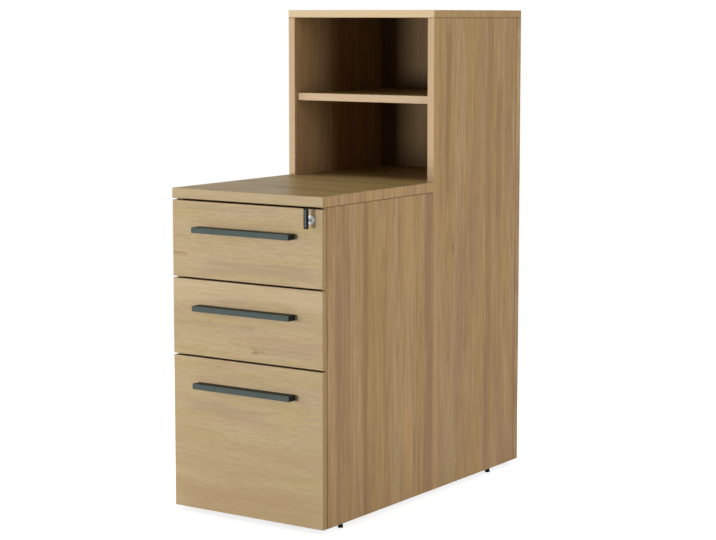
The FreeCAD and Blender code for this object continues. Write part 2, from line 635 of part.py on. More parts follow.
def make_lock_bar():
    """A flat bar in a groove, with a slotted driver for the cam pin and a catch for each drawer."""
    lowest = min(lug_limits(name)[0] for name in DRAWERS) - CATCH_ROOM - CATCH_HEIGHT - LOCK_BAR_END
    driver_half = CAM_PIN / 2.0 + DRIVER_SLOT_ROOM + DRIVER_WALL
    highest = CAM_PIN_Z + driver_half
    outer = LOCK_BAR_X + LOCK_BAR_THICKNESS
    depth_limits = (LOCK_BAR_FRONT, LOCK_BAR_BACK)
    bar = block((LOCK_BAR_X, outer), depth_limits, (lowest, highest))
    slot_reach = CAM_PIN / 2.0 + DRIVER_SLOT_ROOM
    slot_limits = (CAM_PIN_X - slot_reach, LOCK_X + CAM_PIN_RADIUS + slot_reach)
    driver_front = CAM_END + DRIVER_GAP
    driver_limits = (driver_front, driver_front + DRIVER_THICKNESS)
    driver = block((slot_limits[0] - DRIVER_TIP, LOCK_BAR_X), driver_limits,
                   (CAM_PIN_Z - driver_half, CAM_PIN_Z + driver_half))
    slot = block(slot_limits, driver_limits, (CAM_PIN_Z - slot_reach, CAM_PIN_Z + slot_reach))
    catches = []
    for name in DRAWERS:
        catch_top = lug_limits(name)[0] - CATCH_ROOM
        catches.append(block((LOCK_BAR_X - CATCH_REACH, LOCK_BAR_X),
                             (LOCK_BAR_FRONT + CATCH_INSET, LOCK_BAR_BACK - CATCH_INSET),
                             (catch_top - CATCH_HEIGHT, catch_top)))
    nodes["lock_bar"] = bar.fuse([driver.cut(slot)] + catches).removeSplitter()

    groove = block((INNER_X, outer + RUN), (LOCK_BAR_FRONT - RUN, LOCK_BAR_BACK + RUN),
                   (lowest - RUN, highest + LOCK_STROKE + RUN))
    nodes["pedestal_right_side"] = nodes["pedestal_right_side"].cut(groove)


def make_lock_bar_guides():
    """Strips across the groove, under the middle and top boxes, that keep the bar in."""
    guides = []
    for name in ("middle", "top"):
        middle = box_limits(name)[0] - GUIDE_RISE
        guides.append(block((INNER_X - GUIDE_THICKNESS, INNER_X),
                            (LOCK_BAR_FRONT - GUIDE_LIP, LOCK_BAR_BACK + GUIDE_OVERLAP),
                            (middle - GUIDE_HEIGHT / 2.0, middle + GUIDE_HEIGHT / 2.0)))
    nodes["lock_bar_guides"] = Part.makeCompound(guides)


def write_nodes():
    os.makedirs("parts", exist_ok=True)
    for name, shape in nodes.items():
        shape.exportStep("parts/%s.step" % name)
    print("nodes", len(nodes), "valid", all(shape.isValid() for shape in nodes.values()))
    print("lock stroke %.4f mm" % LOCK_STROKE)
    print("lock axis x %.3f y %.3f z %.3f" % (LOCK_X, FRONT_Y, LOCK_Z))


make_pedestal_panels()
make_bookcase_panels()
join_panels()
bolt_carcasses()
make_shelf()
make_feet()
for drawer_name in DRAWERS:
    make_drawer(drawer_name)
make_file_rails()
make_lock()
make_cam()
make_key()
make_lock_bar()
make_lock_bar_guides()
write_nodes()
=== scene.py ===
import math

import bmesh
import bpy
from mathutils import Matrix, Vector


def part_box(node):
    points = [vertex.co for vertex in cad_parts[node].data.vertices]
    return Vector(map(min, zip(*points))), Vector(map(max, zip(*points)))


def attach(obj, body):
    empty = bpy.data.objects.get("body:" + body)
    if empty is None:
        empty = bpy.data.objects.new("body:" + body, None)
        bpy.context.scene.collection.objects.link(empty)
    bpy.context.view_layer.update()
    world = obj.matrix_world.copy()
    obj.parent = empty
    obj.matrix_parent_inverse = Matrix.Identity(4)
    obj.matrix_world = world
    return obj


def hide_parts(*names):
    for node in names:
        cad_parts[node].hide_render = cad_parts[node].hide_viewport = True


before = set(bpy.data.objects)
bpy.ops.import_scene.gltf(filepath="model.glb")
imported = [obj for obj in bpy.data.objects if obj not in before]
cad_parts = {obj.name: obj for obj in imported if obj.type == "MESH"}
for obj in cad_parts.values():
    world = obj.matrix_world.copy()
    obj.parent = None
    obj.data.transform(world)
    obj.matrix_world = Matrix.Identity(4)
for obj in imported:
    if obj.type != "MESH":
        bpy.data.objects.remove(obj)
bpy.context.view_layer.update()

# A drawer pedestal in light oak laminate with an open bookcase behind it. Sizes are in metres.


def shade(red, green, blue):
    """A finish as it is seen on a screen, from 0 to 255, turned into a linear colour."""
    linear = []
    for level in (red, green, blue):
        share = level / 255.0
        linear.append(share / 12.92 if share <= 0.04045 else ((share + 0.055) / 1.055) ** 2.4)
    return (*linear, 1.0)


# Node helpers
def add(tree, kind, values=None, **settings):
    """A node with its settings. Each value is set on the named socket, or linked to it."""
    made = tree.nodes.new(kind)
    for key, value in settings.items():
        setattr(made, key, value)
    for key, value in (values or {}).items():
        if isinstance(value, bpy.types.NodeSocket):
            tree.links.new(value, made.inputs[key])
        else:
            made.inputs[key].default_value = value
    return made


def sum_of(tree, operation, first, second=0.0, third=0.0):
    """A sum on plain values."""
    return add(tree, "ShaderNodeMath", {0: first, 1: second, 2: third}, operation=operation).outputs[0]


def vector_of(tree, operation, first, second):
    """A sum on vectors."""
    return add(tree, "ShaderNodeVectorMath", {0: first, 1: second}, operation=operation).outputs[0]


def scaled(tree, vector, factor):
    """A vector made longer or shorter."""
    return add(tree, "ShaderNodeVectorMath", {0: vector, "Scale": factor}, operation="SCALE").outputs[0]


def length_of(tree, vector):
    """How long a vector is."""
    return add(tree, "ShaderNodeVectorMath", {0: vector}, operation="LENGTH").outputs["Value"]


def parts_of(tree, vector):
    """The three parts of a vector, by their axes."""
    return add(tree, "ShaderNodeSeparateXYZ", {0: vector}).outputs


def rise(tree, value, start, end, low=0.0, high=1.0):
    """A smooth step from low to high while the value goes from start to end."""
    limits = {"Value": value, "From Min": start, "From Max": end, "To Min": low, "To Max": high}
    return add(tree, "ShaderNodeMapRange", limits, interpolation_type="SMOOTHSTEP").outputs["Result"]


# Sockets of a mix node: its first and second input, and its result
MIX_SOCKETS = {"RGBA": (6, 7, 2), "VECTOR": (4, 5, 1)}


def mix(tree, kind, amount, first, second):
    """One colour or vector laid over another by an amount."""
    at_first, at_second, at_result = MIX_SOCKETS[kind]
    values = {0: amount, at_first: first, at_second: second}
    return add(tree, "ShaderNodeMix", values, data_type=kind).outputs[at_result]


def tint(tree, amount, first, second):
    """One colour laid over another by an amount."""
    return mix(tree, "RGBA", amount, first, second)


def noise(tree, place, cells, detail=2.0, rough=0.5):
    """Noise with the given counts of cells along each axis of the place."""
    spaced = vector_of(tree, "MULTIPLY", place, cells)
    values = {"Vector": spaced, "Scale": 1.0, "Detail": detail, "Roughness": rough}
    return add(tree, "ShaderNodeTexNoise", values).outputs["Fac"]


def new_group(name, inputs, outputs):
    """An empty shader node group with named sockets, and its two end nodes."""
    group = bpy.data.node_groups.new(name, "ShaderNodeTree")
    kinds = {"vector": "NodeSocketVector", "value": "NodeSocketFloat", "colour": "NodeSocketColor"}
    for label, kind in inputs.items():
        group.interface.new_socket(label, in_out="INPUT", socket_type=kinds[kind])
    for label, kind in outputs.items():
        group.interface.new_socket(label, in_out="OUTPUT", socket_type=kinds[kind])
    return group, group.nodes.new("NodeGroupInput"), group.nodes.new("NodeGroupOutput")


def use_group(tree, group, values):
    return add(tree, "ShaderNodeGroup", values, node_tree=group)


# Cells of the grain per metre: along it, across it and through the board
KNOT_EDGE_CELLS = (60.0, 130.0, 60.0)
SLOW_WAVE_CELLS = (5.0, 12.0, 6.0)
QUICK_WAVE_CELLS = (19.0, 48.0, 20.0)
PATCH_CELLS = (4.0, 26.0, 6.0)
ROSE_CELLS = (3.4, 19.0, 5.0)
STREAK_CELLS = (13.0, 150.0, 12.0)
FIBRE_CELLS = (42.0, 480.0, 40.0)
PORE_CELLS = (60.0, 1400.0, 120.0)

# Where each part of the grain starts and ends to show, with its least and most amount if not 0 and 1
PATCH_RISE = (0.38, 0.62)
ROSE_RISE = (0.46, 0.7, 0.0, 0.8)
STREAK_RISE = (0.4, 0.74)
FIBRE_RISE = (0.34, 0.72, 0.0, 0.42)
PORE_RISE = (0.58, 0.72)
PORE_ROW_RISE = (0.3, 0.6)
RING_RISE = (-0.2, 0.9)
RING_FADE_RISE = (2.6, 0.4, 0.0, 0.5)
HEART_RISE = (0.6, 0.1, 0.0, 0.85)
UNEVEN_RISE = (0.3, 0.7, 0.0, 0.1)

# A knot: its length against its width, its ragged edge, and how it bends the grain
KNOT_SHAPE = (0.4, 1.0, 0.0)
KNOT_RAGGED = 0.012
KNOT_FALL = 0.3
KNOT_PULL = (0.0, -0.75, 0.0)
KNOT_RING_TURN = 6.0

# Finer parts of the grain
ROSE_OFFSET = (3.1, 0.77, 0.4)
QUICK_WAVE_SHARE = 0.3
PORE_AMOUNT = 0.35
FIBRE_HEIGHT = 0.4


def make_oak_figure():
    """Oak laminate. Place runs along the grain, across it and through the board."""
    inputs = {"Place": "vector", "Sway": "value", "Streak": "value", "Knot": "vector", "Knot Size": "value",
              "Pale": "colour", "Tan": "colour", "Rose": "colour", "Brown": "colour"}
    outputs = {"Color": "colour", "Unevenness": "value", "Height": "value"}
    group, given, result = new_group("oak_figure", inputs, outputs)
    place, brown = given.outputs["Place"], given.outputs["Brown"]

    # The grain bends round a small knot
    away = vector_of(group, "SUBTRACT", place, given.outputs["Knot"])
    reach = length_of(group, vector_of(group, "MULTIPLY", away, KNOT_SHAPE))
    knot_edge = noise(group, place, KNOT_EDGE_CELLS)
    ragged = sum_of(group, "MULTIPLY_ADD", knot_edge, KNOT_RAGGED, -KNOT_RAGGED / 2.0)
    near = sum_of(group, "DIVIDE", sum_of(group, "ADD", reach, ragged), given.outputs["Knot Size"])
    fall = sum_of(group, "MULTIPLY", sum_of(group, "MULTIPLY", near, near), -KNOT_FALL)
    bell = sum_of(group, "POWER", math.e, fall)
    round_knot = scaled(group, vector_of(group, "MULTIPLY", away, KNOT_PULL), bell)

    # Slow and quick waves of the grain
    slow = sum_of(group, "SUBTRACT", noise(group, place, SLOW_WAVE_CELLS, detail=1.0), 0.5)
    quick = sum_of(group, "SUBTRACT", noise(group, place, QUICK_WAVE_CELLS, detail=1.0), 0.5)
    waves = sum_of(group, "MULTIPLY_ADD", quick, QUICK_WAVE_SHARE, slow)
    sway = sum_of(group, "MULTIPLY", waves, given.outputs["Sway"])
    swayed = add(group, "ShaderNodeCombineXYZ", {"Y": sway}).outputs[0]
    bent = vector_of(group, "ADD", vector_of(group, "ADD", place, round_knot), swayed)

    # Broad patches, then streaks, fibres and pores
    patches = noise(group, bent, PATCH_CELLS)
    rose_run = noise(group, vector_of(group, "ADD", bent, ROSE_OFFSET), ROSE_CELLS)
    streaks = noise(group, bent, STREAK_CELLS, detail=3.0, rough=0.62)
    fibres = noise(group, bent, FIBRE_CELLS, rough=0.6)
    pores = noise(group, bent, PORE_CELLS, detail=1.0)
    colour = tint(group, rise(group, patches, *PATCH_RISE), given.outputs["Pale"], given.outputs["Tan"])
    colour = tint(group, rise(group, rose_run, *ROSE_RISE), colour, given.outputs["Rose"])
    streak_mix = sum_of(group, "MULTIPLY", rise(group, streaks, *STREAK_RISE), given.outputs["Streak"])
    colour = tint(group, streak_mix, colour, brown)
    colour = tint(group, rise(group, fibres, *FIBRE_RISE), colour, brown)
    pore_rows = rise(group, streaks, *PORE_ROW_RISE)
    pore_mix = sum_of(group, "MULTIPLY", rise(group, pores, *PORE_RISE), pore_rows)
    colour = tint(group, sum_of(group, "MULTIPLY", pore_mix, PORE_AMOUNT), colour, brown)

    # Rings round the knot, and its dark heart
    ring = sum_of(group, "SINE", sum_of(group, "MULTIPLY", near, KNOT_RING_TURN))
    rings = sum_of(group, "MULTIPLY", rise(group, ring, *RING_RISE), rise(group, near, *RING_FADE_RISE))
    colour = tint(group, rings, colour, brown)
    colour = tint(group, rise(group, near, *HEART_RISE), colour, brown)

    height = sum_of(group, "SUBTRACT", sum_of(group, "MULTIPLY", fibres, FIBRE_HEIGHT), pore_mix)
    group.links.new(colour, result.inputs["Color"])
    group.links.new(rise(group, fibres, *UNEVEN_RISE), result.inputs["Unevenness"])
    group.links.new(height, result.inputs["Height"])
    return group


BAND_WANDER_CELLS = (4.0, 3.0, 3.0)
BAND_BREAK_CELLS = (5.0, 170.0, 12.0)
BAND_SIDE_RISE = (0.62, 0.3)
BAND_END_RISE = (-1.2, 1.2)
BAND_BREAK_RISE = (0.28, 0.62, 0.35, 1.0)


def make_grain_band():
    """One band that stands out in the grain: how strongly it shows at a place."""
    inputs = {"Place": "vector", "Centre": "value", "Width": "value", "From": "value", "To": "value"}
    group, given, result = new_group("grain_band", inputs, {"Mask": "value"})
    place, width = given.outputs["Place"], given.outputs["Width"]
    parts = parts_of(group, place)
    along, across = parts["X"], parts["Y"]
    wander = sum_of(group, "SUBTRACT", noise(group, place, BAND_WANDER_CELLS), 0.5)
    offset = sum_of(group, "MULTIPLY_ADD", wander, width, across)
    off_centre = sum_of(group, "ABSOLUTE", sum_of(group, "SUBTRACT", offset, given.outputs["Centre"]))
    body = rise(group, sum_of(group, "DIVIDE", off_centre, width), *BAND_SIDE_RISE)
    broken = rise(group, noise(group, place, BAND_BREAK_CELLS, detail=3.0, rough=0.6), *BAND_BREAK_RISE)
    mask = sum_of(group, "MULTIPLY", body, broken)
    past_head = sum_of(group, "SUBTRACT", along, given.outputs["From"])
    before_tail = sum_of(group, "SUBTRACT", given.outputs["To"], along)
    for run in (past_head, before_tail):
        shown = rise(group, sum_of(group, "DIVIDE", run, width), *BAND_END_RISE)
        mask = sum_of(group, "MULTIPLY", mask, shown)
    group.links.new(mask, result.inputs["Mask"])
    return group


WEAR_AND_HIGHLIGHT_CELLS = (60.0, 60.0, 60.0)
WEAR_AND_HIGHLIGHT_RISE = (0.35, 0.7)
RIM_RISE = (0.0016, 0.0004)
SEAM_RISE = (0.0017, 0.0006)


def make_board_edge():
    """How close a place on a board is to its edges: a rim for wear and painted highlight, and the seams
    against other boards for painted shade.

    Low Seams and High Seams hold 1 for each lower or upper face that meets another board."""
    inputs = {label: "vector" for label in ("Place", "Low", "High", "Low Seams", "High Seams")}
    group, given, result = new_group("board_edge", inputs, {"Rim": "value", "Seam": "value"})
    place = given.outputs["Place"]
    below = vector_of(group, "SUBTRACT", place, given.outputs["Low"])
    above = vector_of(group, "SUBTRACT", given.outputs["High"], place)
    inset = parts_of(group, vector_of(group, "MINIMUM", below, above))

    # Two of the three insets are small at an edge, so the second smallest tells how close it is
    least = sum_of(group, "MINIMUM", inset["X"], inset["Y"])
    most = sum_of(group, "MAXIMUM", inset["X"], inset["Y"])
    second = sum_of(group, "MAXIMUM", least, sum_of(group, "MINIMUM", most, inset["Z"]))
    patchy = rise(group, noise(group, place, WEAR_AND_HIGHLIGHT_CELLS, detail=3.0), *WEAR_AND_HIGHLIGHT_RISE)
    rim = sum_of(group, "MULTIPLY", rise(group, second, *RIM_RISE), patchy)
    group.links.new(rim, result.inputs["Rim"])

    seam = 0.0
    for gap, flags in ((below, given.outputs["Low Seams"]), (above, given.outputs["High Seams"])):
        gaps, marks = parts_of(group, gap), parts_of(group, flags)
        for axis in "XYZ":
            close = sum_of(group, "MULTIPLY", rise(group, gaps[axis], *SEAM_RISE), marks[axis])
            seam = sum_of(group, "MAXIMUM", seam, close)
    group.links.new(seam, result.inputs["Seam"])
    return group


# Cells of a coat, counted per fleck
FLECK_CELLS = (1.0, 1.0, 1.0)
CLOUD_CELLS = (0.03, 0.03, 0.03)
SCUFF_CELLS = (0.05, 0.6, 0.6)
FLECK_RISE = (0.3, 0.7)
SCUFF_RISE = (0.5, 0.75)


def make_speckle():
    """Fine flecks, scuffs and unevenness of a painted, moulded or plated surface."""
    inputs = {"Place": "vector", "Grain": "value", "Dark": "colour", "Light": "colour"}
    outputs = {"Color": "colour", "Scuff": "value", "Height": "value"}
    group, given, result = new_group("speckle", inputs, outputs)
    place = scaled(group, given.outputs["Place"], given.outputs["Grain"])
    fleck = noise(group, place, FLECK_CELLS, rough=0.6)
    cloud = noise(group, place, CLOUD_CELLS, detail=3.0, rough=0.6)
    scuff = noise(group, place, SCUFF_CELLS, detail=3.0, rough=0.7)
    blend = sum_of(group, "MULTIPLY", sum_of(group, "ADD", fleck, cloud), 0.5)
    colour = tint(group, rise(group, blend, *FLECK_RISE), given.outputs["Dark"], given.outputs["Light"])
    group.links.new(colour, result.inputs["Color"])
    group.links.new(rise(group, scuff, *SCUFF_RISE), result.inputs["Scuff"])
    group.links.new(fleck, result.inputs["Height"])
    return group


OAK_FIGURE = make_oak_figure()
GRAIN_BAND = make_grain_band()
BOARD_EDGE = make_board_edge()
SPECKLE = make_speckle()

# Finishes. The fronts and flat boards are a paler oak than the upright panels, whose warmer tone is painted
# warm light, as it falls on the faces to the right.
PALE_OAK = {"Pale": shade(194, 171, 135), "Tan": shade(189, 168, 123), "Rose": shade(187, 160, 130),
            "Brown": shade(160, 135, 98)}
WARM_LIT_OAK = {"Pale": shade(187, 156, 115), "Tan": shade(180, 148, 98), "Rose": shade(169, 133, 102),
            "Brown": shade(138, 107, 71)}
FLAT_OAK = {"Pale": shade(189, 163, 111), "Tan": shade(185, 157, 100), "Rose": shade(176, 149, 100),
            "Brown": shade(120, 97, 58)}
EDGING_PALE = shade(231, 207, 169)
EDGING_FRONT = shade(212, 183, 148)
EDGING_SHELF = shade(217, 191, 158)
EDGING_OAK = shade(198, 178, 146)
# Painted warm light and shade: the warm tones of the boards' ends, also on the bookcase top's back
WARM_LIGHT_EDGING = shade(190, 154, 115)
END_WARM_LIGHT_STRIPED = shade(214, 170, 138)
END_WARM_SHADE_BROWN = shade(166, 130, 87)
# Painted shade: the dark tone of the fronts' upper and lower faces, for the gaps between them
GAP_SHADE_DARK = shade(116, 88, 58)
# Painted shade: the dark olive of the bookcase back's face inside the compartments
NICHE_SHADE_OLIVE = shade(108, 98, 58)
# Painted shade: the dark brown of the joints between boards
SEAM_SHADE_BROWN = shade(92, 66, 42)
BAND_ROSE = shade(152, 119, 86)
BAND_BROWN = shade(146, 114, 78)
BAND_GOLD = shade(184, 149, 100)
BAND_OLIVE = shade(130, 110, 80)
BAND_GREY = shade(168, 144, 116)
BAND_TAN = shade(172, 146, 106)
BAND_PALE = shade(204, 182, 148)
KNOT_BROWN = shade(136, 108, 74)

# The axis that each kind of face looks along, and the way along it, or 0 for both ways
EDGE_FACES = {"ends": ("X", 0.0), "front": ("Y", -1.0), "back": ("Y", 1.0), "rims": ("Z", 0.0)}
EDGE_FACE_RISE = (0.6, 0.8)
LIT_FRONT_FACE_RISE = (-0.6, -0.85)
RIM_AMOUNT = 0.3
NO_SHIFT = (0.0, 0.0, 0.0)

# What a board has unless it says otherwise. The knot lies far off the board.
NO_KNOT = (9.0, 9.0, 0.0001)
NO_SEAMS = ((0.0, 0.0, 0.0), (0.0, 0.0, 0.0))
SEAM_AMOUNT = 0.6
OAK_ROUGHNESS = 0.44
OAK_SPECULAR = 0.12

# Strength and depth of the bump of a surface
OAK_BUMP = (0.25, 0.0004)
COAT_BUMP = (0.15, 0.0002)


def start_material(name):
    material = bpy.data.materials.new(name)
    material.use_nodes = True
    tree = material.node_tree
    shader = next(found for found in tree.nodes if found.type == "BSDF_PRINCIPLED")
    coordinates = tree.nodes.new("ShaderNodeTexCoord")
    return material, tree, shader, coordinates


def bump(tree, shader, height, strength, distance):
    values = {"Height": height, "Strength": strength, "Distance": distance}
    tree.links.new(add(tree, "ShaderNodeBump", values).outputs["Normal"], shader.inputs["Normal"])


def turned_place(tree, place, axes, stretch, spread, shift):
    """A place seen along the grain, across it and through the board, moved to this board's own figure."""
    parts = parts_of(tree, place)
    ordered = {"XYZ"[at]: parts[axis.upper()] for at, axis in enumerate(axes)}
    along_grain = add(tree, "ShaderNodeCombineXYZ", ordered).outputs[0]
    return vector_of(tree, "ADD", vector_of(tree, "MULTIPLY", along_grain, (stretch, spread, 1.0)), shift)


def oak_board(node_name, board, shift):
    """Laminate for one board, with its own edging, bands, knot and seams."""
    material, tree, shader, coordinates = start_material("oak_" + node_name)
    place = coordinates.outputs["Object"]
    stretch, spread = board["stretch"], board["spread"]
    figure_place = turned_place(tree, place, board["grain"], stretch, spread, shift)
    turns = parts_of(tree, coordinates.outputs["Normal"])
    edgings = []
    for faces, axes, tone, amount in board.get("edging", ()):
        axis, way = EDGE_FACES[faces]
        turn = turns[axis]
        outward = sum_of(tree, "MULTIPLY", turn, way) if way else sum_of(tree, "ABSOLUTE", turn)
        facing = rise(tree, outward, *EDGE_FACE_RISE)
        edge_place = turned_place(tree, place, axes, stretch, spread, shift)
        figure_place = mix(tree, "VECTOR", facing, figure_place, edge_place)
        edgings.append((sum_of(tree, "MULTIPLY", facing, amount), tone))
    knot_along, knot_across, knot_size = board.get("knot", NO_KNOT)
    knot = (knot_along * stretch + shift[0], knot_across * spread + shift[1], 0.0)
    figure = use_group(tree, OAK_FIGURE, {
        "Place": figure_place, "Sway": board["sway"], "Streak": board["streak"], "Knot": knot,
        "Knot Size": knot_size, **board["oak"]})
    colour = figure.outputs["Color"]
    band_place = turned_place(tree, place, board["grain"], 1.0, 1.0, NO_SHIFT)
    for centre, width, start, end, tone, amount in board.get("bands", ()):
        band = use_group(tree, GRAIN_BAND, {
            "Place": band_place, "Centre": centre, "Width": width, "From": start, "To": end})
        colour = tint(tree, sum_of(tree, "MULTIPLY", band.outputs["Mask"], amount), colour, tone)
    for amount, tone in edgings:
        colour = tint(tree, amount, colour, tone)
    low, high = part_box(node_name)
    low_seams, high_seams = board.get("seams", NO_SEAMS)
    edge = use_group(tree, BOARD_EDGE, {
        "Place": place, "Low": low, "High": high, "Low Seams": low_seams, "High Seams": high_seams})
    # Wear and painted highlight: the rims are tinted towards the pale tone, where the rounded edges catch
    # the light
    rim_wear_and_highlight = sum_of(tree, "MULTIPLY", edge.outputs["Rim"], RIM_AMOUNT)
    colour = tint(tree, rim_wear_and_highlight, colour, board["oak"]["Pale"])
    # Painted shade: a dark brown line along the faces that meet other boards, for the shade in the joint
    seam = sum_of(tree, "MULTIPLY", edge.outputs["Seam"], board.get("seam_amount", SEAM_AMOUNT))
    colour = tint(tree, seam, colour, SEAM_SHADE_BROWN)
    tree.links.new(colour, shader.inputs["Base Color"])
    rough = sum_of(tree, "ADD", figure.outputs["Unevenness"], board.get("rough", OAK_ROUGHNESS))
    tree.links.new(rough, shader.inputs["Roughness"])
    shader.inputs["Specular IOR Level"].default_value = board.get("specular", OAK_SPECULAR)
    bump(tree, shader, figure.outputs["Height"], *OAK_BUMP)
    return material


def coated(name, dark, light, grain, rough, metal=0.0, specular=0.5, scuffs=0.12, front=None):
    """A painted, plated or moulded finish with flecks and scuffs.

    Front gives the two tones of the faces that look to the front, painted lighter for the light on them,
    while the darker rest paints the shade on the tops and ends."""
    material, tree, shader, coordinates = start_material(name)
    if front:
        turn = parts_of(tree, coordinates.outputs["Normal"])["Y"]
        facing = rise(tree, turn, *LIT_FRONT_FACE_RISE)
        dark, light = (tint(tree, facing, body, face) for body, face in zip((dark, light), front))
    values = {"Place": coordinates.outputs["Object"], "Grain": grain, "Dark": dark, "Light": light}
    surface = use_group(tree, SPECKLE, values)
    tree.links.new(surface.outputs["Color"], shader.inputs["Base Color"])
    scuffed = sum_of(tree, "MULTIPLY_ADD", surface.outputs["Scuff"], scuffs, rough)
    tree.links.new(scuffed, shader.inputs["Roughness"])
    shader.inputs["Metallic"].default_value = metal
    shader.inputs["Specular IOR Level"].default_value = specular
    bump(tree, shader, surface.outputs["Height"], *COAT_BUMP)
    return material


def dress(node_name, material):
    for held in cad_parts[node_name].material_slots:
        held.material = material


# Boards. Each one's figure is moved on from the last one's, so that no two are alike.
NEXT_BOARD = Vector((0.731, 0.417, 0.253))

# Grain gives the axes along it, across it and through the board
FRONT_BOARD = {
    "grain": "xzy", "stretch": 1.0, "spread": 1.4, "sway": 0.018, "streak": 0.32, "oak": PALE_OAK,
    # Painted shade: the dark tone on the rims, the upper and lower faces, darkens the gaps between the
    # fronts
    "edging": (("ends", "zyx", END_WARM_SHADE_BROWN, 0.75), ("rims", "xyz", GAP_SHADE_DARK, 0.8))}
UPRIGHT = {"grain": "zyx", "stretch": 0.34, "spread": 1.0, "sway": 0.012, "streak": 0.6, "oak": WARM_LIT_OAK}
BACK_UPRIGHT = {**UPRIGHT, "grain": "zxy"}
FLAT = {
    "grain": "xyz", "stretch": 0.4, "spread": 1.0, "sway": 0.01, "streak": 0.9, "oak": FLAT_OAK,
    "rough": 0.32, "specular": 0.02}

# Seams are the faces below and above along each axis that meet another board
SIDE_SEAMS = ((0.0, 0.0, 0.0), (0.0, 1.0, 1.0))

# Edging lists the faces with a tone of their own: which ones, their grain, the tone and its amount
SIDE_EDGING = (("front", "zxy", EDGING_FRONT, 0.7),)

# Bands give a place across the grain, a width, a start and an end along it, a tone and an amount
BOARDS = {
    "desk_top": {
        **FLAT, "seams": ((0.0, 0.0, 1.0), (0.0, 1.0, 0.0)),
        # Painted warm light: the warm tone of the desk top's ends
        "edging": (("ends", "zyx", END_WARM_LIGHT_STRIPED, 0.3), ("front", "xzy", EDGING_OAK, 0.7)),
        "bands": (
            (-0.262, 0.03, -0.05, 0.3, BAND_OLIVE, 0.5), (-0.16, 0.03, -0.3, 0.12, BAND_OLIVE, 0.5),
            (-0.06, 0.04, -0.1, 0.3, BAND_OLIVE, 0.5), (-0.33, 0.03, -0.3, 0.3, BAND_GREY, 0.5))},
    "top_drawer_front": {
        **FRONT_BOARD,
        "bands": (
            (0.594, 0.007, -0.22, -0.166, BAND_BROWN, 0.65), (0.565, 0.03, -0.12, 0.18, BAND_GREY, 0.7),
            (0.70, 0.014, -0.21, 0.1, BAND_GREY, 0.35))},
    "middle_drawer_front": {
        **FRONT_BOARD, "knot": (0.027, 0.391, 0.006),
        "bands": (
            (0.392, 0.02, 0.03, 0.18, BAND_GREY, 0.6), (0.437, 0.012, -0.2, 0.02, BAND_GREY, 0.5),
            (0.515, 0.05, -0.25, 0.25, BAND_PALE, 0.6), (0.3897, 0.0065, 0.023, 0.032, KNOT_BROWN, 0.9),
            (0.3843, 0.005, 0.016, 0.034, KNOT_BROWN, 0.7), (0.3881, 0.005, 0.036, 0.048, KNOT_BROWN, 0.6),
            (0.3954, 0.006, 0.013, 0.023, KNOT_BROWN, 0.6))},
    "bottom_drawer_front": {
        **FRONT_BOARD,
        "bands": (
            # The two broad tan bands make the bottom front darker towards its lower edge
            (0.247, 0.03, -0.16, 0.05, BAND_GREY, 0.6), (0.05, 0.09, -0.22, 0.22, BAND_TAN, 0.8),
            (0.16, 0.11, -0.22, 0.22, BAND_TAN, 0.4))},
    "pedestal_left_side": {**UPRIGHT, "seams": SIDE_SEAMS},
    "pedestal_right_side": {
        **UPRIGHT, "seams": SIDE_SEAMS, "knot": (0.423, -0.0187, 0.004),
        "bands": (
            (-0.354, 0.016, 0.0, 0.6, BAND_ROSE, 0.8), (-0.248, 0.022, 0.0, 0.9, BAND_BROWN, 0.8),
            (-0.072, 0.035, 0.0, 0.9, BAND_GOLD, 0.6), (0.014, 0.034, 0.0, 0.9, BAND_ROSE, 1.0))},
    "pedestal_bottom": FLAT,
    "pedestal_back": BACK_UPRIGHT,
    "bookcase_left_side": {**UPRIGHT, "edging": SIDE_EDGING, "seams": SIDE_SEAMS},
    "bookcase_right_side": {
        **UPRIGHT, "edging": SIDE_EDGING, "seams": SIDE_SEAMS,
        "stretch": 0.48, "streak": 0.48, "knot": (0.583, 0.1206, 0.004),
        "bands": (
            (0.043, 0.024, 0.0, 1.2, BAND_GOLD, 0.75), (0.098, 0.026, 0.7, 1.1, BAND_BROWN, 0.75),
            (0.1, 0.004, 0.31, 0.39, BAND_BROWN, 1.0), (0.318, 0.004, 1.05, 1.06, BAND_BROWN, 1.0),
            (0.334, 0.028, 0.62, 0.96, BAND_ROSE, 0.9), (0.285, 0.03, 0.0, 1.2, BAND_BROWN, 0.6))},
    "bookcase_top": {
        **FLAT, "seams": ((0.0, 0.0, 1.0), (0.0, 0.0, 0.0)), "seam_amount": 0.4,
        # Painted warm light: the warm tone of the bookcase top's ends and back
        "edging": (("ends", "zyx", WARM_LIGHT_EDGING, 0.6), ("front", "xzy", EDGING_PALE, 0.85),
                   ("back", "xzy", WARM_LIGHT_EDGING, 0.6))},
    "bookcase_bottom": FLAT,
    "bookcase_lower_panel": BACK_UPRIGHT,
    "bookcase_back": {
        # Painted shade: the face towards the front, inside the compartments, is tinted dark olive for the
        # shade there
        **BACK_UPRIGHT, "edging": (("front", "zxy", NICHE_SHADE_OLIVE, 0.5),),
        "seams": ((0.0, 1.0, 0.0), (0.0, 0.0, 1.0))},
    "fixed_shelf": {**FLAT, "seams": ((0.0, 1.0, 0.0), (0.0, 0.0, 0.0))},
    "adjustable_shelf": {**FLAT, "edging": (("front", "xzy", EDGING_SHELF, 0.85),)},
}


def finish_boards():
    for count, (node_name, board) in enumerate(BOARDS.items()):
        dress(node_name, oak_board(node_name, board, tuple(NEXT_BOARD * (count + 1))))


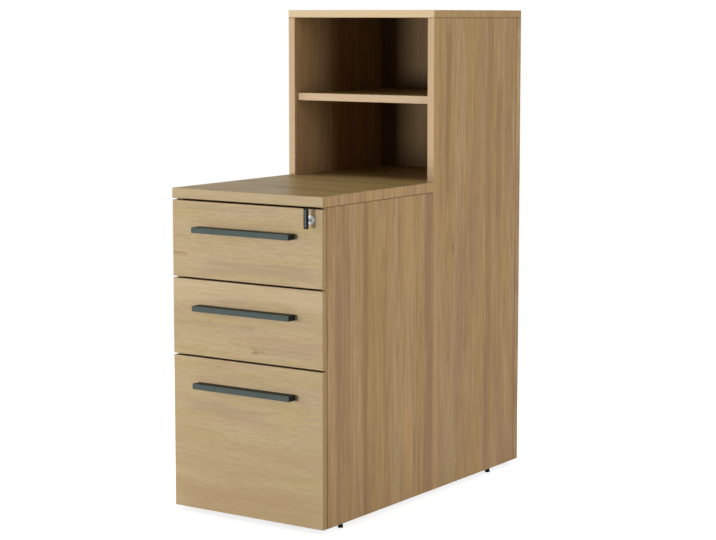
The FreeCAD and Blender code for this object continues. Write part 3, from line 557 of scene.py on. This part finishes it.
def finish_fittings():
    """Finishes of the fittings by the slots that they fill. Grain is the flecks per metre."""
    # Painted light and shade: the handles' paint is lighter on the faces to the front and near black on the
    # tops and ends
    graphite = coated(
        "graphite_paint", shade(24, 28, 26), shade(32, 37, 34), grain=2600.0, rough=0.5, specular=0.1,
        scuffs=0.04, front=(shade(70, 80, 77), shade(82, 92, 88)))
    zinc = coated(
        "zinc_plate", shade(150, 152, 152), shade(184, 186, 186), grain=900.0, rough=0.32, metal=1.0)
    chrome = coated(
        "satin_chrome", shade(178, 179, 180), shade(198, 199, 200), grain=700.0, rough=0.5, metal=1.0)
    brass = coated(
        "insert_brass", shade(176, 148, 92), shade(198, 170, 112), grain=900.0, rough=0.28, metal=1.0)
    nickel = coated(
        "nickel_plate", shade(172, 172, 168), shade(194, 194, 188), grain=900.0, rough=0.36, metal=1.0)
    moulded = coated(
        "moulded_grip", shade(12, 16, 16), shade(20, 25, 24), grain=2200.0, rough=0.5, specular=0.06)
    black_foot = coated(
        "black_foot", shade(10, 10, 11), shade(18, 18, 19), grain=1800.0, rough=0.5, specular=0.08)
    grey_board = coated(
        "grey_box_board", shade(168, 166, 160), shade(186, 184, 178), grain=1200.0, rough=0.5)
    beech = coated(
        "beech_dowel", shade(196, 164, 120), shade(214, 184, 140), grain=500.0, rough=0.6)
    inlay = coated(
        "grip_inlay", shade(58, 66, 74), shade(68, 76, 84), grain=2200.0, rough=0.4, specular=0.2)
    by_slot = {
        "handle_paint": graphite, "runner_steel": zinc, "fixing_steel": zinc, "pin_steel": zinc,
        "lock_chrome": chrome, "plug_nickel": nickel, "insert_brass": brass, "key_steel": nickel,
        "grip_plastic": moulded, "foot_plastic": black_foot, "box_board": grey_board,
        "box_bottom": grey_board, "dowel": beech,
    }
    for node_name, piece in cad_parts.items():
        if node_name not in BOARDS:
            dress(node_name, by_slot[piece.material_slots[0].material.name.split(".")[0]])
    return {**by_slot, "grip_inlay": inlay}


# Shapes
SHARP_EDGE = math.radians(35.0)
SQUARE = ((-1, -1), (1, -1), (1, 1), (-1, 1))


def loft(rings):
    """A closed shell through rings of equally many points, with flat ends."""
    count = len(rings[0])
    points = [place for ring in rings for place in ring]
    faces = []
    for level in range(len(rings) - 1):
        first, second = level * count, (level + 1) * count
        for at in range(count):
            after = (at + 1) % count
            faces.append((first + at, first + after, second + after, second + at))
    faces.append(tuple(range(count)))
    faces.append(tuple(range(len(points) - count, len(points))))
    return points, faces


def turned(centre, axis, levels, count=32):
    """A shell turned about an axis, through levels of a height and a radius.

    A radius may be a function of the angle."""
    order = {"x": (1, 2, 0), "y": (0, 2, 1), "z": (0, 1, 2)}[axis]
    rings = []
    for height, radius in levels:
        ring = []
        for at in range(count):
            angle = 2.0 * math.pi * at / count
            reach = radius(angle) if callable(radius) else radius
            place = list(centre)
            place[order[0]] += reach * math.cos(angle)
            place[order[1]] += reach * math.sin(angle)
            place[order[2]] += height
            ring.append(place)
        rings.append(ring)
    return loft(rings)


def cross_recess(lobe, waist):
    """The outline of a cross recess as a radius for each angle."""
    quarter = math.pi / 2.0

    def radius(angle):
        off_lobe = abs((angle + quarter / 2.0) % quarter - quarter / 2.0)
        return lobe if off_lobe < quarter / 5.0 else waist
    return radius


def rounded_ring(centre_x, centre_z, half_width, half_height, corner, depth, steps=6):
    """A rounded rectangle that faces the front."""
    ring = []
    for turn, (side, end) in enumerate(((1, 1), (-1, 1), (-1, -1), (1, -1))):
        for step in range(steps + 1):
            angle = math.pi / 2.0 * (turn + step / steps)
            ring.append((centre_x + side * (half_width - corner) + corner * math.cos(angle), depth,
                         centre_z + end * (half_height - corner) + corner * math.sin(angle)))
    return ring


def arc(centre_x, centre_z, radius, start, end, steps=10):
    angles = (math.radians(start + (end - start) * step / steps) for step in range(steps + 1))
    return [(centre_x + radius * math.cos(angle), centre_z + radius * math.sin(angle)) for angle in angles]


def make_piece(name, shells, material, body, slot_name, *nodes):
    """A piece made of closed shells that rides a body and stands for the given nodes."""
    points, faces = [], []
    for shell_points, shell_faces in shells:
        start = len(points)
        points.extend(tuple(place) for place in shell_points)
        faces.extend(tuple(start + at for at in face) for face in shell_faces)
    mesh = bpy.data.meshes.new(name)
    mesh.from_pydata(points, [], faces)
    solid = bmesh.new()
    solid.from_mesh(mesh)
    bmesh.ops.recalc_face_normals(solid, faces=solid.faces)
    solid.to_mesh(mesh)
    solid.free()
    mesh.shade_smooth()
    mesh.set_sharp_from_angle(angle=SHARP_EDGE)
    mesh.materials.append(material)
    piece = bpy.data.objects.new(name, mesh)
    bpy.context.scene.collection.objects.link(piece)
    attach(piece, body)
    if nodes:
        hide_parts(*nodes)


# Screw heads, as levels of a height over the seat and a radius. Flush heads look the other way.
HEAD_RADIUS = 0.0040
HEAD_HEIGHT = 0.0026
RECESS_MOUTH = cross_recess(0.0020, 0.0009)
RECESS_FLOOR = cross_recess(0.0014, 0.0006)
PAN_HEAD = (
    (0.0, HEAD_RADIUS), (0.0012, HEAD_RADIUS), (0.0020, 0.0034), (0.0024, 0.0026),
    (HEAD_HEIGHT, RECESS_MOUTH), (0.0010, RECESS_FLOOR))
FLUSH_HEAD = ((0.0, 0.0038), (-0.0003, 0.0036), (-0.0004, RECESS_MOUTH), (0.0003, RECESS_FLOOR))

# Handle screws
SHANK_RADIUS = 0.0020
SHANK_TIP_RADIUS = 0.0015
SHANK_TIP = 0.0008


def make_handle_screws(name, finishes):
    """The two screws that hold a handle from inside the drawer."""
    node_name = name + "_handle_screws"
    low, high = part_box(node_name)
    middle, tip, seat = (low[2] + high[2]) / 2.0, low[1], high[1] - HEAD_HEIGHT
    shank = [(tip, SHANK_TIP_RADIUS), (tip + SHANK_TIP, SHANK_RADIUS), (seat, SHANK_RADIUS)]
    levels = shank + [(seat + height, radius) for height, radius in PAN_HEAD]
    screws = [turned((side * (high[0] - HEAD_RADIUS), 0.0, middle), "y", levels) for side in (-1.0, 1.0)]
    steel = finishes["fixing_steel"]
    make_piece(name + "_pan_screws", screws, steel, name + "_drawer", "fixing_steel", node_name)


# Runners. Places across are measured inwards from the wall that the outer channel is screwed to.
RUNNER_SHEET = 0.0012
OUTER_CHANNEL = {"web": 0.0006, "half_height": 0.0219, "curl": 0.0042}
MIDDLE_CHANNEL = {"web": 0.0032, "half_height": 0.0168, "curl": 0.0030}

# The inner channel's edge from its web to its lip: places across, and heights from the runner's middle
INNER_EDGE = (
    (0.0121, 0.0078), (0.0116, 0.0090), (0.0088, 0.0104),
    (0.0066, 0.0112), (0.0054, 0.0108), (0.0050, 0.0097))

# Ball cages: place across, height from the middle, ball radius, half width, start along the runner
CAGES = ((0.0048, 0.0193, 0.0018, 0.0017, 0.55), (0.0062, 0.0140, 0.0020, 0.0016, 0.05))
CAGE_MARGIN = 0.008
CAGE_HALF_SHEET = 0.0003
BALL_PITCH = 0.02
BALLS_IN_CAGE = 8
BALL_LIFTS = range(-80, 81, 20)
BALL_SIDES = 12
BOX_SCREW_SEAT = 0.0115
WALL_SCREW_SEAT = 0.0011
RUNNER_SCREW_DEPTHS = (0.045, 0.165, 0.345)


def rolled_sheet(path, front, back, mirror):
    """A rolled section: sheet metal along a path seen from the front, drawn out from front to back."""
    half = RUNNER_SHEET / 2.0
    one_side, other_side = [], []
    for at, (x, z) in enumerate(path):
        before, after = path[max(at - 1, 0)], path[min(at + 1, len(path) - 1)]
        run = Vector((after[0] - before[0], after[1] - before[1])).normalized()
        one_side.append((x - run.y * half, z + run.x * half))
        other_side.append((x + run.y * half, z - run.x * half))
    outline = one_side + other_side[::-1]
    return loft([[(mirror * x, depth, z) for x, z in outline] for depth in (front, back)])


def curled_section(wall, middle, web, half_height, curl):
    """A channel whose upper and lower edges curl into ball tracks."""
    centre_x = wall - web - curl
    low = arc(centre_x, middle - half_height + curl, curl, 180.0, 360.0)
    high = arc(centre_x, middle + half_height - curl, curl, 0.0, 180.0)
    return low + high


def hat_section(wall, middle):
    """The drawer's channel: a flat web with its edges turned out to the balls."""
    low = [(wall - across, middle - height) for across, height in reversed(INNER_EDGE)]
    return low + [(wall - across, middle + height) for across, height in INNER_EDGE]


def ball(centre, radius):
    lifts = [math.radians(lift) for lift in BALL_LIFTS]
    levels = [(radius * math.sin(lift), radius * math.cos(lift)) for lift in lifts]
    return turned(centre, "y", levels, BALL_SIDES)


def ball_cage(mirror, x, z, radius, half_width, first):
    """A row of balls in a thin strip."""
    last = first + BALL_PITCH * (BALLS_IN_CAGE - 1)
    ends = (first - CAGE_MARGIN, last + CAGE_MARGIN)
    corners = [(side * half_width, lift * CAGE_HALF_SHEET) for side, lift in SQUARE]
    strip = loft([[(mirror * (x + a), depth, z + b) for a, b in corners] for depth in ends])
    places = [(mirror * x, first + BALL_PITCH * count, z) for count in range(BALLS_IN_CAGE)]
    return [strip] + [ball(place, radius) for place in places]


def side_screw(mirror, x, depth, z, head):
    """A screw head that stands on a runner's upright web."""
    levels = [(mirror * height, radius) for height, radius in head]
    return turned((mirror * x, depth, z), "x", levels)


def make_runners(name, finishes):
    """A pair of telescopic runners: three rolled channels each, with balls in cages and screws."""
    runner, drawer = name + "_runner", name + "_drawer"
    low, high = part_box(runner + "_outer")
    wall, middle = high[0], (low[2] + high[2]) / 2.0
    front, back = low[1], high[1]
    outer, centre, inner, cages, box_screws, wall_screws = [], [], [], [], [], []
    for mirror in (1.0, -1.0):
        outer.append(rolled_sheet(curled_section(wall, middle, **OUTER_CHANNEL), front, back, mirror))
        centre.append(rolled_sheet(curled_section(wall, middle, **MIDDLE_CHANNEL), front, back, mirror))
        inner.append(rolled_sheet(hat_section(wall, middle), front, back, mirror))
        for up in (1.0, -1.0):
            for across, height, radius, half_width, start in CAGES:
                first = front + start * (back - front)
                cages += ball_cage(mirror, wall - across, middle + up * height, radius, half_width, first)
        for depth in RUNNER_SCREW_DEPTHS:
            place = (front + depth, middle)
            box_screws.append(side_screw(mirror, wall - BOX_SCREW_SEAT, *place, PAN_HEAD))
            wall_screws.append(side_screw(mirror, wall - WALL_SCREW_SEAT, *place, FLUSH_HEAD))
    steel, fixing, bright = finishes["runner_steel"], finishes["fixing_steel"], finishes["key_steel"]
    make_piece(runner + "_outer_rail", outer, steel, "carcass", "runner_steel", runner + "_outer")
    make_piece(runner + "_wall_screws", wall_screws, fixing, "carcass", "fixing_steel")
    make_piece(runner + "_middle_rail", centre, steel, runner, "runner_steel", runner + "_middle")
    make_piece(runner + "_balls", cages, bright, runner, "runner_steel")
    make_piece(runner + "_inner_rail", inner, steel, drawer, "runner_steel", runner + "_inner")
    make_piece(runner + "_box_screws", box_screws, fixing, drawer, "fixing_steel")


# Feet. The pad's levels are a height and a radius, first those with a ribbed rim.
PAD_TOP = 0.0100
PAD_RIM = ((0.0, 0.00555), (0.0006, 0.00625), (0.0020, 0.00625))
PAD_BODY = ((0.0028, 0.00585), (0.0092, 0.0052), (PAD_TOP, 0.0050))
RIBS = 12
RIB_LIMIT = -0.5
RIB_GROOVE = 0.93
STEM_RADIUS = 0.0040
STEM_CORE = 0.0035
STEM_END = 0.0031
FOOT_SIDES = 36
THREAD_PITCH = 0.00125

# One turn of the thread: shares of the pitch, and radii
THREAD = ((0.3, STEM_CORE), (0.7, STEM_RADIUS), (0.9, STEM_RADIUS))


def ribbed(radius):
    """A ribbed outline as a radius for each angle."""
    return lambda angle: radius * (1.0 if math.cos(RIBS * angle) > RIB_LIMIT else RIB_GROOVE)


def make_foot(name, finishes):
    """A ribbed pad on a threaded stem."""
    low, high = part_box(name)
    levels = [(height, ribbed(radius)) for height, radius in PAD_RIM]
    levels += [*PAD_BODY, (PAD_TOP, STEM_CORE)]
    turns = int((high[2] - PAD_TOP) / THREAD_PITCH) - 1
    for turn in range(turns):
        levels += [(PAD_TOP + THREAD_PITCH * (turn + share), radius) for share, radius in THREAD]
    levels.append((high[2], STEM_END))
    centre = ((low[0] + high[0]) / 2.0, (low[1] + high[1]) / 2.0, 0.0)
    shell = turned(centre, "z", levels, FOOT_SIDES)
    make_piece(name + "_ribbed", [shell], finishes["foot_plastic"], name, "foot_plastic", name)


# The key's grip has a shallow pocket along its face, which holds an inlay
GRIP_BEVEL = 0.0006
GRIP_CORNER = 0.0014
FACE_CORNER = 0.0010
POCKET_INSET = 0.0023
POCKET_MOUTH = 0.0001
POCKET_FLOOR = 0.0006
INLAY_INSET = 0.0025
INLAY_CORNER = 0.0009
INLAY_SHOULDER = 0.0002
INLAY_FOOT = 0.0008
INLAY_CROWN = {"side": 0.0027, "end": 0.0028, "corner": 0.0007, "depth": -0.0001}

# The key's blade: its slanted nose, and the depth and length of each cut from the nose back
NOSE_LENGTH = 0.0020
NOSE_HEIGHT = 0.0022
NOSE_SLANT = 0.0007
CUT_PITCH = 0.0028
CUTS = ((0.0028, 0.0010), (0.0012, 0.0016), (0.0024, 0.0014), (0.0008, 0.0016), (0.0018, 0.0010))
CUTS_END = 0.0166


def make_key(finishes):
    """A cut blade, and a grip with a lighter inlay along its face."""
    low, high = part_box("key_grip")
    centre = ((low[0] + high[0]) / 2.0, (low[2] + high[2]) / 2.0)
    half_width, half_height = (high[0] - low[0]) / 2.0, (high[2] - low[2]) / 2.0
    length = high[1] - low[1]

    def ring(side, end, corner, depth):
        return rounded_ring(*centre, half_width - side, half_height - end, corner, low[1] + depth)
    shell = loft([
        ring(POCKET_INSET, POCKET_INSET, FACE_CORNER, POCKET_FLOOR),
        ring(POCKET_INSET, POCKET_INSET, FACE_CORNER, POCKET_MOUTH),
        ring(GRIP_BEVEL, GRIP_BEVEL, FACE_CORNER, 0.0),
        ring(0.0, 0.0, GRIP_CORNER, GRIP_BEVEL),
        ring(0.0, 0.0, GRIP_CORNER, length - GRIP_BEVEL),
        ring(GRIP_BEVEL, GRIP_BEVEL, FACE_CORNER, length)])
    make_piece("key_grip_shell", [shell], finishes["grip_plastic"], "key", "grip_plastic", "key_grip")
    inlay = loft([
        ring(**INLAY_CROWN),
        ring(INLAY_INSET, INLAY_INSET, INLAY_CORNER, INLAY_SHOULDER),
        ring(INLAY_INSET, INLAY_INSET, INLAY_CORNER, INLAY_FOOT)])
    make_piece("key_grip_inlay", [inlay], finishes["grip_inlay"], "key", "grip_plastic")

    low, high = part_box("key_blade")
    shoulder, tip, base, top = low[1], high[1], low[2], high[2]
    outline = [(shoulder, top), (tip - NOSE_LENGTH, top), (tip, top - NOSE_HEIGHT),
               (tip - NOSE_SLANT, base + NOSE_HEIGHT)]
    for count, (deep, wide) in enumerate(CUTS, start=1):
        start = tip - CUT_PITCH * count
        outline += [(start, base + deep), (start - wide, base + deep)]
    outline += [(tip - CUTS_END, base), (shoulder, base)]
    blade = loft([[(side, depth, level) for depth, level in outline] for side in (low[0], high[0])])
    make_piece("key_cut_blade", [blade], finishes["key_steel"], "key", "key_steel", "key_blade")


def make_fittings(finishes):
    for name in ("top", "middle", "bottom"):
        make_runners(name, finishes)
        make_handle_screws(name, finishes)
    for name in ("front_left_foot", "front_right_foot", "back_left_foot", "back_right_foot"):
        make_foot(name, finishes)
    make_key(finishes)


# Studio. The floor fades to plain white between two distances from the object.
FLOOR_REACH = 20.0
FLOOR_FADE = (0.9, 2.4)
FLOOR_GLOW = 0.8
FLOOR_LIT = shade(168, 168, 167)
FLOOR_SEEN = shade(176, 176, 176)
BLACK = (0.0, 0.0, 0.0, 1.0)
WHITE = (1.0, 1.0, 1.0, 1.0)
WORLD_LIGHT = 0.05

# Lamps: azimuth from the front to the right, elevation, distance, width, height and power
LAMP_TARGET = Vector((0.0, 0.0, 0.55))
LAMPS = {
    "front_lamp": (-14.0, 0.0, 5.0, 1.0, 0.8, 130.0),
    "front_left_lamp": (-50.0, 6.0, 5.0, 4.6, 2.4, 84.0),
    "left_lamp": (-90.0, 10.0, 3.4, 2.2, 2.0, 52.0),
    "right_lamp": (84.0, 10.0, 3.4, 2.2, 2.0, 70.0),
    "top_lamp": (-90.0, 75.0, 3.0, 1.8, 1.8, 26.0),
    "back_lamp": (180.0, 30.0, 4.0, 1.3, 1.4, 136.0),
}

# The camera, fitted to the object's straight edges. The lens is in millimetres and the angles in degrees.
SENSOR_WIDTH = 36.0
FOCAL_LENGTH = 98.0049
LENS_SHIFT = -0.04
CAMERA_PLACE = (2.6026, -3.7940, 1.1267)
CAMERA_TILT = 6.6277
CAMERA_TURN = 34.2621


def seen_rays(tree):
    """1 for what the camera sees, also in gloss and through glass, and 0 for light on the object."""
    path = tree.nodes.new("ShaderNodeLightPath").outputs
    mirrored = sum_of(tree, "MAXIMUM", path["Is Glossy Ray"], path["Is Transmission Ray"])
    return sum_of(tree, "MAXIMUM", path["Is Camera Ray"], mirrored)


def make_floor():
    """A pale floor that reads as white and still takes the object's shadow."""
    mesh = bpy.data.meshes.new("floor")
    corners = [(x * FLOOR_REACH, y * FLOOR_REACH, 0.0) for x, y in SQUARE]
    mesh.from_pydata(corners, [], [(0, 1, 2, 3)])
    floor = bpy.data.objects.new("floor", mesh)
    bpy.context.scene.collection.objects.link(floor)
    material, tree, shader, coordinates = start_material("pale_floor")
    tree.nodes.remove(shader)
    seen = seen_rays(tree)
    away = length_of(tree, coordinates.outputs["Object"])
    far = rise(tree, away, *FLOOR_FADE)
    glow = sum_of(tree, "MULTIPLY", seen, rise(tree, away, *FLOOR_FADE, FLOOR_GLOW, 1.0))
    pale = tint(tree, seen, FLOOR_LIT, FLOOR_SEEN)
    pale = tint(tree, sum_of(tree, "MULTIPLY", far, seen), pale, BLACK)
    matt = add(tree, "ShaderNodeBsdfDiffuse", {"Color": pale}).outputs[0]
    light = add(tree, "ShaderNodeEmission", {"Strength": glow}).outputs[0]
    both = add(tree, "ShaderNodeAddShader", {0: matt, 1: light}).outputs[0]
    output = next(found for found in tree.nodes if found.type == "OUTPUT_MATERIAL")
    tree.links.new(both, output.inputs["Surface"])
    mesh.materials.append(material)


def make_world():
    """A white backdrop that gives little light."""
    world = bpy.data.worlds.new("studio")
    world.use_nodes = True
    bpy.context.scene.world = world
    tree = world.node_tree
    backdrop = next(found for found in tree.nodes if found.type == "BACKGROUND")
    backdrop.inputs["Color"].default_value = WHITE
    strength = sum_of(tree, "MULTIPLY_ADD", seen_rays(tree), 1.0 - WORLD_LIGHT, WORLD_LIGHT)
    tree.links.new(strength, backdrop.inputs["Strength"])


def make_softbox(name, azimuth, elevation, distance, width, height, power):
    """A lamp aimed at the middle of the object."""
    lamp = bpy.data.lights.new(name, "AREA")
    lamp.shape = "RECTANGLE"
    lamp.size = width
    lamp.size_y = height
    lamp.energy = power
    box = bpy.data.objects.new(name, lamp)
    bpy.context.scene.collection.objects.link(box)
    turn, lift = math.radians(azimuth), math.radians(elevation)
    away = Vector((math.sin(turn) * math.cos(lift), -math.cos(turn) * math.cos(lift), math.sin(lift)))
    box.location = LAMP_TARGET + away * distance
    box.rotation_euler = away.to_track_quat("Z", "Y").to_euler()


def make_camera():
    lens = bpy.data.cameras.new("photo_camera")
    lens.sensor_width = SENSOR_WIDTH
    lens.lens = FOCAL_LENGTH
    lens.shift_y = LENS_SHIFT
    camera = bpy.data.objects.new("photo_camera", lens)
    bpy.context.scene.collection.objects.link(camera)
    camera.location = CAMERA_PLACE
    camera.rotation_euler = (math.radians(90.0 - CAMERA_TILT), 0.0, math.radians(CAMERA_TURN))
    bpy.context.scene.camera = camera


finish_boards()
make_fittings(finish_fittings())
make_floor()
make_world()
for lamp_name, lamp_values in LAMPS.items():
    make_softbox(lamp_name, *lamp_values)
make_camera()
bpy.context.scene.view_settings.view_transform = "Standard"
